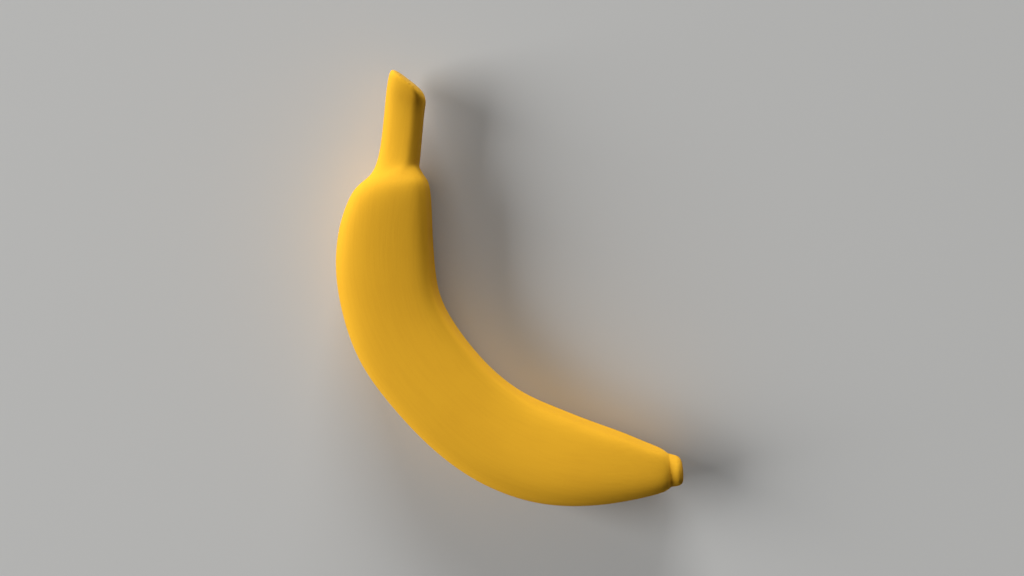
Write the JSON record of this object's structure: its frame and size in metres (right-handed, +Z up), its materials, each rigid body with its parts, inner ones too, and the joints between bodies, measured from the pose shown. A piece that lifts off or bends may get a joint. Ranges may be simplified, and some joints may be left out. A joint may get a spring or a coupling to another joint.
{
  "type": "banana",
  "caption": "Single curved banana lying on its side, with a slant-cut stem, a broad shoulder, soft lengthwise ridges and a short round stub at the blossom end.",
  "frame": {"origin": "on the surface that the banana lies on, under the middle of its bounding box", "axes": "the plane of the bend is level, +Z up; +Y toward the cut end of the stem; +X toward the blossom end"},
  "size_m": [0.1212, 0.1516, 0.0303],
  "materials": {
    "peel": "matte"
  },
  "bodies": {
    "root": {"banana": "peel"}
  },
  "joints": []
}
